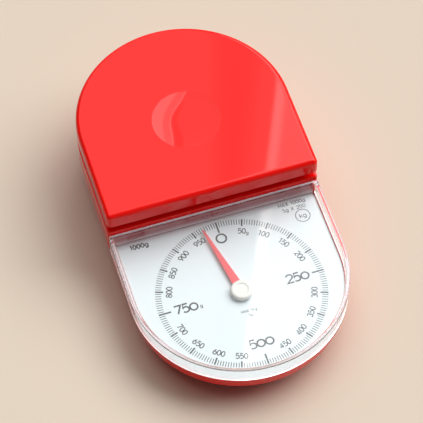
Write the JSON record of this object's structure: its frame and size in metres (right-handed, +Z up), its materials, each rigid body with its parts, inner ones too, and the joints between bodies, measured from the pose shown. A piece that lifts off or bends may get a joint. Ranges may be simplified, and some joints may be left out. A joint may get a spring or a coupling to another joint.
{
  "type": "kitchen scale",
  "caption": "Small dial kitchen scale: round-ended red case, D-shaped weighing platform at the rear, round dial with pointer under a clear cover at the front.",
  "frame": {"origin": "on the table under the middle of the case's outline, at the underside of the feet", "axes": "+Z up, +Y towards the rear, where the weighing platform is, +X to the right of a person who reads the dial"},
  "size_m": [0.108, 0.1948, 0.046],
  "materials": {
    "red_plastic": "glossy moulded ABS, bright red",
    "clear_plastic": "clear polished acrylic",
    "dial_white": "white satin with dark grey printing",
    "pointer_coral": "satin coral red",
    "cap_cream": "satin off-white",
    "knob_black": "matt black, fluted",
    "foot_rubber": "matt black rubber",
    "nylon_white": "natural nylon",
    "zinc_steel": "zinc-plated sheet steel",
    "spring_steel": "drawn spring wire",
    "brass": "turned and stamped brass"
  },
  "bodies": {
    "case": {"base_tray": "red_plastic", "rear_housing": "red_plastic", "dial_cover": "clear_plastic", "dial_plate": "dial_white", "foot_1": "foot_rubber", "foot_2": "foot_rubber", "foot_3": "foot_rubber", "foot_4": "foot_rubber", "case_screw_1": "zinc_steel", "case_screw_2": "zinc_steel", "case_screw_3": "zinc_steel", "case_screw_4": "zinc_steel", "chassis_plate": "zinc_steel", "chassis_screw_1": "zinc_steel", "chassis_screw_2": "zinc_steel", "chassis_screw_3": "zinc_steel", "chassis_screw_4": "zinc_steel", "pivot_pin_upper": "zinc_steel", "pivot_pin_lower": "zinc_steel", "crank_bracket": "zinc_steel", "crank_axle": "zinc_steel", "rack_guide_front": "nylon_white", "rack_guide_rear": "nylon_white", "bearing_bridge": "zinc_steel", "bush_lower": "brass", "bush_upper": "brass", "spring_left": "spring_steel", "spring_right": "spring_steel"},
    "platform_body": {"platform": "red_plastic", "load_post": "nylon_white", "post_pin_upper": "zinc_steel", "post_pin_lower": "zinc_steel", "post_screw": "zinc_steel", "spring_carrier": "zinc_steel"},
    "upper_lever_body": {"upper_lever": "zinc_steel"},
    "lower_arm_body": {"lower_arm": "zinc_steel"},
    "crank_body": {"bell_crank": "brass", "crank_lever_pin": "zinc_steel", "crank_rack_pin": "zinc_steel"},
    "rack_body": {"rack": "brass"},
    "pointer_body": {"pointer": "pointer_coral", "hub_cap": "cap_cream", "pointer_shaft": "zinc_steel", "pinion": "brass"},
    "zero_body": {"zero_knob": "knob_black", "zero_screw": "zinc_steel"},
    "yoke_body": {"spring_yoke": "zinc_steel"}
  },
  "joints": [
    {"name": "platform_slide", "type": "slide", "parent": "case", "child": "platform_body", "axis": [0, 0, 1], "range_m": [-0.0025, 0], "stiffness_N_per_m": 3924, "springref_m": 0.0004, "deforming": ["spring_left", "spring_right"]},
    {"name": "upper_lever_hinge", "type": "hinge", "parent": "case", "child": "upper_lever_body", "pos_m": [0, 0.0765, 0.03], "axis": [1, 0, 0], "range_deg": [0, 3.9]},
    {"name": "lower_arm_hinge", "type": "hinge", "parent": "case", "child": "lower_arm_body", "pos_m": [0, 0.0765, 0.019], "axis": [1, 0, 0], "range_deg": [0, 3.9]},
    {"name": "crank_hinge", "type": "hinge", "parent": "case", "child": "crank_body", "pos_m": [0, 0.00525, 0.02783], "axis": [1, 0, 0], "range_deg": [-45.01, 0]},
    {"name": "rack_slide", "type": "slide", "parent": "case", "child": "rack_body", "axis": [0, 1, 0], "range_m": [-0.01257, 0]},
    {"name": "pointer_hinge", "type": "hinge", "parent": "case", "child": "pointer_body", "pos_m": [0, -0.0488, 0.02], "axis": [0, 0, 1], "range_deg": [-360.01, 0]},
    {"name": "yoke_slide", "type": "slide", "parent": "case", "child": "yoke_body", "axis": [0, 0, 1], "range_m": [-0.0005, 0.0005]},
    {"name": "zero_knob_hinge", "type": "hinge", "parent": "case", "child": "zero_body", "pos_m": [0, 0.058, 0.001], "axis": [0, 0, 1], "range_deg": [-360.01, 360.01]}
  ],
  "couplings": [
    {"joint": "upper_lever_hinge", "follows": "platform_slide", "rad_per_m": -27.027},
    {"joint": "lower_arm_hinge", "follows": "platform_slide", "rad_per_m": -27.027},
    {"joint": "crank_hinge", "follows": "platform_slide", "rad_per_m": 314.16},
    {"joint": "rack_slide", "follows": "platform_slide", "ratio": 5.0265},
    {"joint": "pointer_hinge", "follows": "platform_slide", "rad_per_m": 2513.3},
    {"joint": "zero_knob_hinge", "follows": "yoke_slide", "rad_per_m": 12566}
  ]
}
